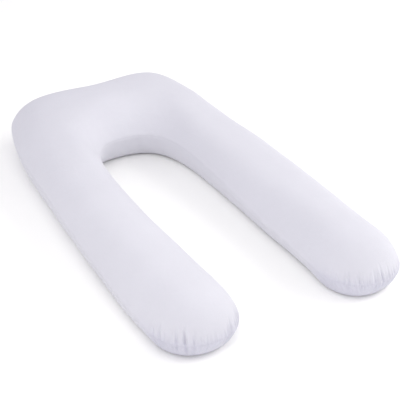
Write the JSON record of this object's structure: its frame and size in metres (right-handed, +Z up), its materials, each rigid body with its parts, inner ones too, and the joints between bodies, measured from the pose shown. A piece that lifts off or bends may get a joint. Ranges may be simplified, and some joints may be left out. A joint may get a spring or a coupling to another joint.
{
  "type": "U-shaped body pillow",
  "caption": "Long U-shaped body pillow, a filled white cloth bag with a thick head and soft round arms gathered at the ends, lying flat.",
  "frame": {"origin": "on the floor, under the middle of the pillow's outline as seen from above", "axes": "+Z up; +Y along the pillow, from the ends of the arms to the head of the U; +X across it, to the right arm as seen from above with the head away"},
  "size_m": [0.799, 1.3991, 0.2128],
  "materials": {
    "cover": "smooth matt cotton, white with a faint lavender tint"
  },
  "bodies": {
    "root": {"pillow": "cover"}
  },
  "joints": []
}
